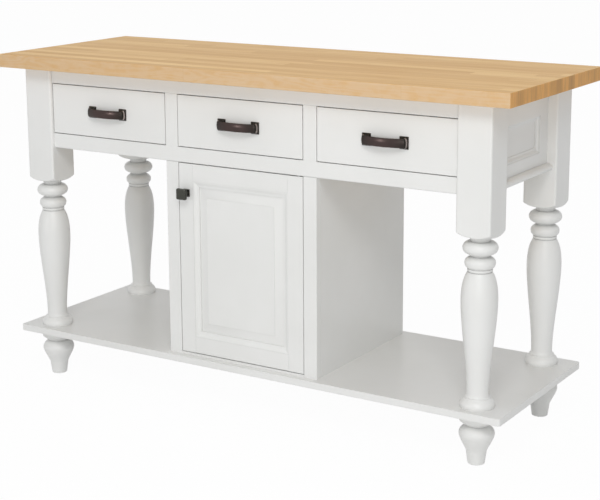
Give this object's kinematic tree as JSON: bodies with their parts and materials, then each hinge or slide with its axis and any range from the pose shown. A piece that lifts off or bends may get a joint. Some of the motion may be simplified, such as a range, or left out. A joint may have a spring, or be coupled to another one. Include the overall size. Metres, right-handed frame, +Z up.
{
  "type": "kitchen island unit",
  "caption": "Free-standing kitchen island: butcher-block top on turned legs, inset drawers on slides, centre cupboard with raised-panel door, open lower shelf on turned feet.",
  "frame": {"origin": "on the floor, under the middle of the top", "axes": "+Z up, +X to the right seen from the front, the drawers and door face -Y"},
  "size_m": [1.524, 0.5588, 0.9144],
  "materials": {
    "paint": "white satin paint on wood",
    "maple": "oiled butcher block, staves along the top",
    "birch": "clear lacquered birch plywood",
    "bronze": "oil-rubbed bronze",
    "steel": "zinc-plated steel",
    "nylon": "moulded white plastic"
  },
  "bodies": {
    "case": {"butcher_block_top": "maple", "leg_front_left": "paint", "leg_front_right": "paint", "leg_back_left": "paint", "leg_back_right": "paint", "foot_front_left": "paint", "foot_front_right": "paint", "foot_back_left": "paint", "foot_back_right": "paint", "lower_shelf": "paint", "top_rail": "paint", "drawer_rail": "paint", "drawer_divider_left": "paint", "drawer_divider_right": "paint", "cupboard_stile_left": "paint", "cupboard_stile_right": "paint", "cupboard_side_left": "paint", "cupboard_side_right": "paint", "end_frame_left": "paint", "end_frame_right": "paint", "end_panel_left": "paint", "end_panel_right": "paint", "cupboard_sill": "paint", "cupboard_back": "paint", "cupboard_shelf": "paint", "rear_apron": "paint", "case_slide_left_l": "steel", "case_slide_left_r": "steel", "case_slide_centre_l": "steel", "case_slide_centre_r": "steel", "case_slide_right_l": "steel", "case_slide_right_r": "steel", "door_pivot_upper": "steel", "door_pivot_lower": "steel", "magnetic_catch": "nylon"},
    "drawer_left": {"drawer_front_left": "paint", "drawer_box_left": "birch", "drawer_bottom_left": "birch", "drawer_pull_left": "bronze", "drawer_slide_left_l": "steel", "drawer_slide_left_r": "steel"},
    "drawer_centre": {"drawer_front_centre": "paint", "drawer_box_centre": "birch", "drawer_bottom_centre": "birch", "drawer_pull_centre": "bronze", "drawer_slide_centre_l": "steel", "drawer_slide_centre_r": "steel"},
    "drawer_right": {"drawer_front_right": "paint", "drawer_box_right": "birch", "drawer_bottom_right": "birch", "drawer_pull_right": "bronze", "drawer_slide_right_l": "steel", "drawer_slide_right_r": "steel"},
    "door": {"door_lock_stile": "paint", "door_hinge_stile": "paint", "door_top_rail": "paint", "door_bottom_rail": "paint", "door_panel": "paint", "door_knob": "bronze", "catch_strike": "steel"}
  },
  "joints": [
    {"name": "drawer_left_slide", "type": "slide", "parent": "case", "child": "drawer_left", "axis": [0, -1, 0], "range_m": [0, 0.3]},
    {"name": "drawer_centre_slide", "type": "slide", "parent": "case", "child": "drawer_centre", "axis": [0, -1, 0], "range_m": [0, 0.3]},
    {"name": "drawer_right_slide", "type": "slide", "parent": "case", "child": "drawer_right", "axis": [0, -1, 0], "range_m": [0, 0.3]},
    {"name": "door_hinge", "type": "hinge", "parent": "case", "child": "door", "pos_m": [0.17537, -0.2224, 0.4], "axis": [0, 0, 1], "range_deg": [0, 110]}
  ]
}
